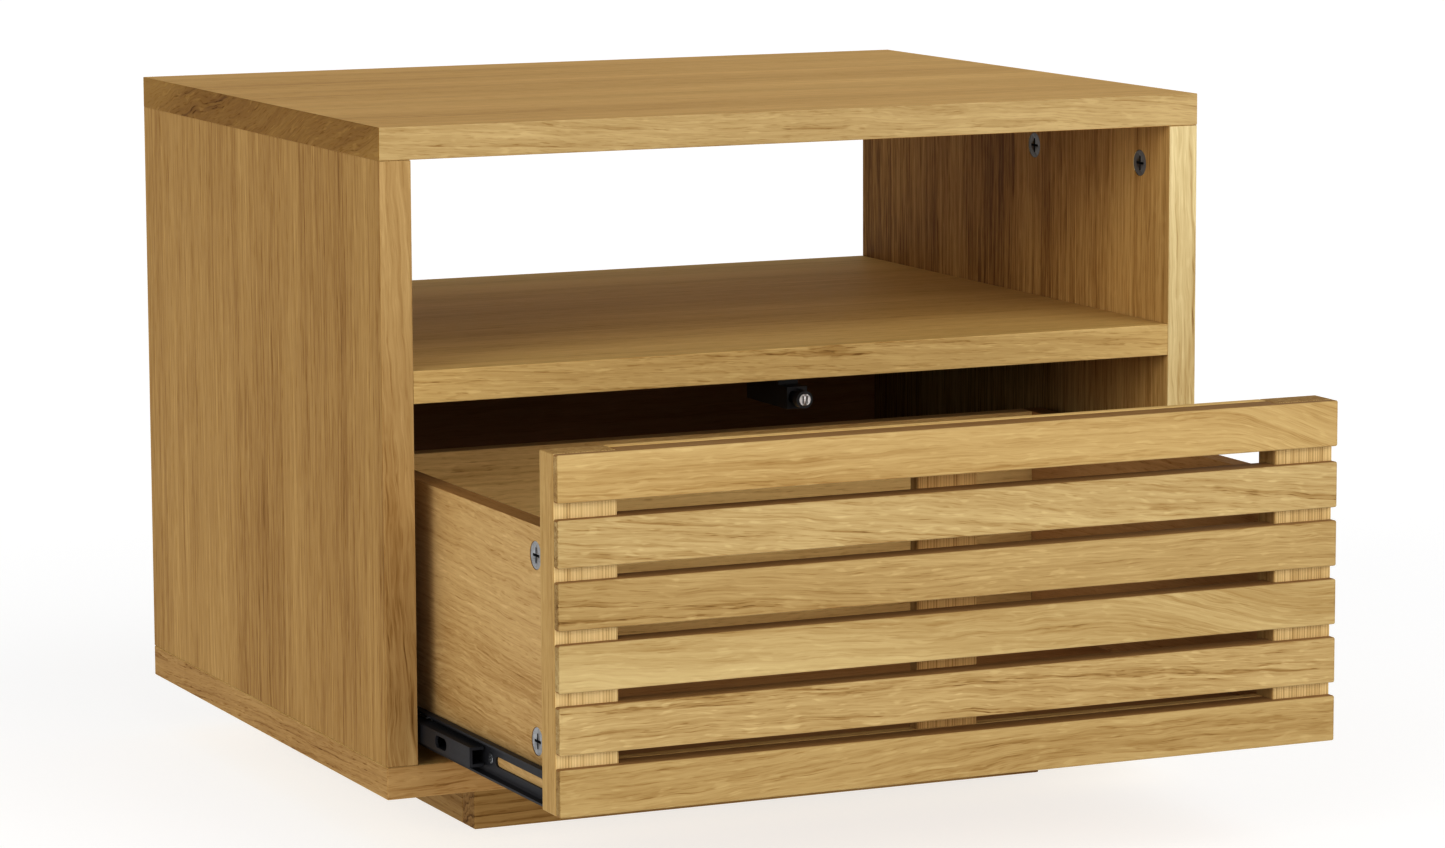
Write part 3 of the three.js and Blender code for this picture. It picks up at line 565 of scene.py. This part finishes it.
def build_drawer_box():
    for index, side in enumerate(SIDES):
        seed = 55.4 + 4.1 * index
        outward, inward = facing(side)
        outside = oak(f"oak_box_{side}", "Y", "X", TONES["box"], seed, **BOX_SIDE)
        # The inner faces are drawn darker and redder, as painted shade.
        inside = oak(f"oak_box_inner_{side}", "Y", "X", TONES["shaded_box_inner"], seed + 2.2, slant=2.0,
                     ring=4.2)
        edge = oak(f"oak_box_edge_{side}", "Y", "Z", TONES["box_edge"], seed + 1.1, ring=3.0)
        faces = {outward: outside, inward: inside, "Z": edge}
        board(f"drawer_{side}_side", faces, radius=0.5, shortest=9.0)
    # The back's paler tone is painted light, seen through the slots.
    back = oak("oak_box_back", "X", "Y", TONES["lit_box_back"], seed=64.9, **BOX_INSIDE)
    board("drawer_back", {"Y": back}, radius=0.5)
    # The floor's darker, redder tone is painted shade.
    above = oak("oak_box_floor", "X", "Z", TONES["shaded_box_floor"], seed=67.3, **BOX_INSIDE)
    below = oak("oak_box_underside", "X", "Z", TONES["back"], seed=69.8, **BOX_INSIDE)
    board("drawer_floor", {"+Z": above, "-Z": below}, radius=0.3)


# ---- metal and plastic ----------------------------------------------------------------------
def fitting(node, face, recess, way):
    """A cam, a screw or the magnet, with its recess in a second material, which on the cams and screws
    is near-black painted shade. way is the axis that its face looks along, as -X or +X."""
    mesh = clean_copy(node)
    axis, sign = axis_and_sign(way)
    top = max(sign * vert.co[axis] for vert in mesh.verts)
    for polygon in mesh.faces:
        depth = top - sign * polygon.calc_center_median()[axis]
        polygon.material_index = int(depth > RECESS_START)
    new_piece(node + "_finished", mesh, [face, recess], node)


def cross_outline(radius):
    """Directions around a screw head, each as its angle and how far the cross recess reaches."""
    arm, half = radius * ARM_REACH, radius * ARM_HALF_WIDTH
    corner = math.atan2(half, arm)
    quarter_turn = math.pi / 2
    steps = (0.0, corner, ROUND_STEP, math.pi / 4, quarter_turn - ROUND_STEP, quarter_turn - corner)
    outline = []
    for quarter in range(4):
        for step in steps:
            side = min(step, quarter_turn - step)
            reach = arm / math.cos(side) if side <= corner else half / math.sin(side)
            outline.append((quarter * quarter_turn + step, reach))
    return outline


def screw_head(name, centre, way, radii, height, node, materials):
    """A round head with a cross recess. centre is the middle of its face, radii are those of the
    face and of the underside, and way is the axis it looks along."""
    outline = cross_outline(radii[0])
    mesh = bmesh.new()

    def ring(radius_at, z):
        verts = []
        for angle, reach in outline:
            radius = radius_at(reach)
            place = (radius * math.cos(angle) * MM, radius * math.sin(angle) * MM, z * MM)
            verts.append(mesh.verts.new(place))
        return verts

    rings = [
        ring(lambda reach: radii[1], -height),
        ring(lambda reach: radii[0], -HEAD_BEVEL),
        ring(lambda reach: radii[0] - HEAD_BEVEL, 0.0),
        ring(lambda reach: reach, 0.0),
        ring(lambda reach: reach * RECESS_FLOOR, -RECESS_DEPTH * height),
    ]
    recess_wall = len(rings) - 2
    # The recess's walls and floor take the second material, which paints shade.
    for level, (lower, upper) in enumerate(zip(rings, rings[1:])):
        for index in range(len(outline)):
            after = (index + 1) % len(outline)
            face = mesh.faces.new((lower[index], lower[after], upper[after], upper[index]))
            face.material_index = int(level == recess_wall)
    mesh.faces.new(rings[0][::-1])
    mesh.faces.new(rings[-1]).material_index = 1
    axis, sign = axis_and_sign(way)
    direction = Vector()
    direction[axis] = sign
    turn = direction.to_track_quat("Z", "Y").to_matrix().to_4x4()
    mesh.transform(Matrix.Translation(Vector(centre) * MM) @ turn)
    new_piece(name, mesh, materials, node, replaced=False)


def bumper(side, material):
    """The soft block that stops a drawer member at the front of its slide."""
    sign = SIDES[side]
    spans = [sorted((sign * BUMPER_LOW[0], sign * BUMPER_HIGH[0]))]
    spans += zip(BUMPER_LOW[1:], BUMPER_HIGH[1:])
    mesh = bmesh.new()
    made = bmesh.ops.create_cube(mesh, size=1.0)
    for vert in made["verts"]:
        vert.co = [(low + (part + 0.5) * (high - low)) * MM for part, (low, high) in zip(vert.co, spans)]
    bmesh.ops.bevel(mesh, geom=mesh.edges[:], offset=BUMPER_ROUNDING * MM, segments=ARRIS_SEGMENTS,
                    profile=0.5, affect="EDGES")
    new_piece(f"{side}_slide_bumper", mesh, [material], f"{side}_slide_drawer_member", replaced=False)


def build_fittings():
    # The cabinet's cams take a darker copy of the drawer cams' zinc, as painted shade.
    pale = cast_zinc("pale_zinc", (0.40, 0.41, 0.42), 0.42)
    zinc_in_shade = cast_zinc("zinc_painted_in_shade", (0.155, 0.150, 0.145), 0.45)
    # Recesses are painted near-black, as the shade inside them.
    shaded_pit = cast_zinc("painted_recess_shade", (0.022, 0.022, 0.023), 0.6)
    screw = cast_zinc("screw_zinc", (0.30, 0.31, 0.32), 0.36)
    rubber = moulded_plastic("bumper_rubber", (0.016, 0.016, 0.017), 0.6)
    for side, x in LATCH_SCREW_X.items():
        screw_head(f"latch_{side}_screw", (x, LATCH_SCREW_Y, LATCH_SCREW_Z), "-Z", LATCH_SCREW_RADII,
                   LATCH_SCREW_HEIGHT, "left_front_top_cam", [screw, shaded_pit])
    for side, sign in SIDES.items():
        outward, inward = facing(side)
        for end, y in SLIDE_SCREW_Y.items():
            centre = (sign * SLIDE_SCREW_X, y, SLIDE_SCREW_Z)
            screw_head(f"{side}_cabinet_member_{end}_screw", centre, inward, SLIDE_SCREW_RADII,
                       SLIDE_SCREW_HEIGHT, f"{side}_front_top_cam", [screw, shaded_pit])
        bumper(side, rubber)
        for level in ("upper", "lower"):
            fitting(f"drawer_{side}_{level}_cam", pale, shaded_pit, outward)
        for end in ("front", "rear"):
            fitting(f"{side}_{end}_top_cam", zinc_in_shade, shaded_pit, inward)
            fitting(f"{side}_slide_{end}_screw", screw, shaded_pit, outward)


def finish_cad_nodes():
    """Gives the CAD nodes that stay their materials, and makes the magnet's two-tone copy."""
    slide = rolled_steel("slide_steel", (0.022, 0.022, 0.026), 0.55, "Y", metallic=0.3)
    bright = rolled_steel("bright_steel", (0.55, 0.54, 0.52), 0.34, "Y", metallic=1.0)
    zinc = cast_zinc("cast_zinc", (0.42, 0.41, 0.39), 0.42)
    plastic = moulded_plastic("black_plastic", (0.011, 0.011, 0.012), 0.42)
    nickel = cast_zinc("nickel_magnet", (0.92, 0.92, 0.92), 0.48)
    fitting("latch_magnet", nickel, plastic, "-Y")
    by_slot = {
        "dark_slide_steel": slide,
        "bright_steel": bright,
        "zinc_cam": zinc,
        "black_plastic": plastic,
        "magnet": nickel,
    }
    for node, slot in SLOT.items():
        if slot in by_slot:
            data = frame["nodes"][node].data
            data.materials.clear()
            data.materials.append(by_slot[slot])


# ---- stage ----------------------------------------------------------------------------------
def build_floor():
    half = FLOOR_HALF
    mesh = bmesh.new()
    corners = ((-half, -half), (half, -half), (half, half), (-half, half))
    mesh.faces.new([mesh.verts.new((x, y, 0.0)) for x, y in corners])
    paint = glowing_paint("floor_paint", FLOOR_COLOR, FLOOR_ROUGHNESS, FLOOR_GLOW)
    new_object("studio_floor", mesh, [paint])


def build_lights():
    for name, (towards_light, strength, spread, mirrored) in LIGHTS.items():
        data = bpy.data.lights.new(name, "SUN")
        data.energy = strength
        data.angle = math.radians(spread)
        light = bpy.data.objects.new(name, data)
        light.rotation_mode = "QUATERNION"
        light.rotation_quaternion = Vector(towards_light).to_track_quat("Z", "Y")
        light.visible_glossy = mirrored
        bpy.context.scene.collection.objects.link(light)
    world = bpy.data.worlds.new("studio")
    world.use_nodes = True
    background = world.node_tree.nodes["Background"]
    background.inputs["Color"].default_value = (1.0, 1.0, 1.0, 1.0)
    background.inputs["Strength"].default_value = ROOM_BRIGHTNESS
    bpy.context.scene.world = world
    view = bpy.context.scene.view_settings
    view.view_transform = "Standard"
    view.gamma = VIEW_GAMMA


def build_camera():
    """A long lens, a little above the top, to the left of the front."""
    data = bpy.data.cameras.new("camera")
    data.sensor_width = CAMERA_SENSOR
    data.lens = CAMERA_LENS
    data.clip_end = CAMERA_REACH
    camera = bpy.data.objects.new("camera", data)
    camera.location = CAMERA_PLACE
    heading, drop, roll = (math.radians(v) for v in (CAMERA_HEADING, CAMERA_DROP, CAMERA_ROLL))
    level = math.cos(drop)
    forward = Vector((math.sin(heading) * level, math.cos(heading) * level, -math.sin(drop)))
    aim = forward.to_track_quat("-Z", "Y").to_matrix()
    camera.rotation_mode = "QUATERNION"
    camera.rotation_quaternion = (aim @ Matrix.Rotation(roll, 3, "Z")).to_quaternion()
    bpy.context.scene.collection.objects.link(camera)
    bpy.context.scene.camera = camera


build_camera()
build_lights()
build_floor()
finish_cad_nodes()
build_carcass()
build_plinth()
build_drawer_front()
build_drawer_box()
build_fittings()
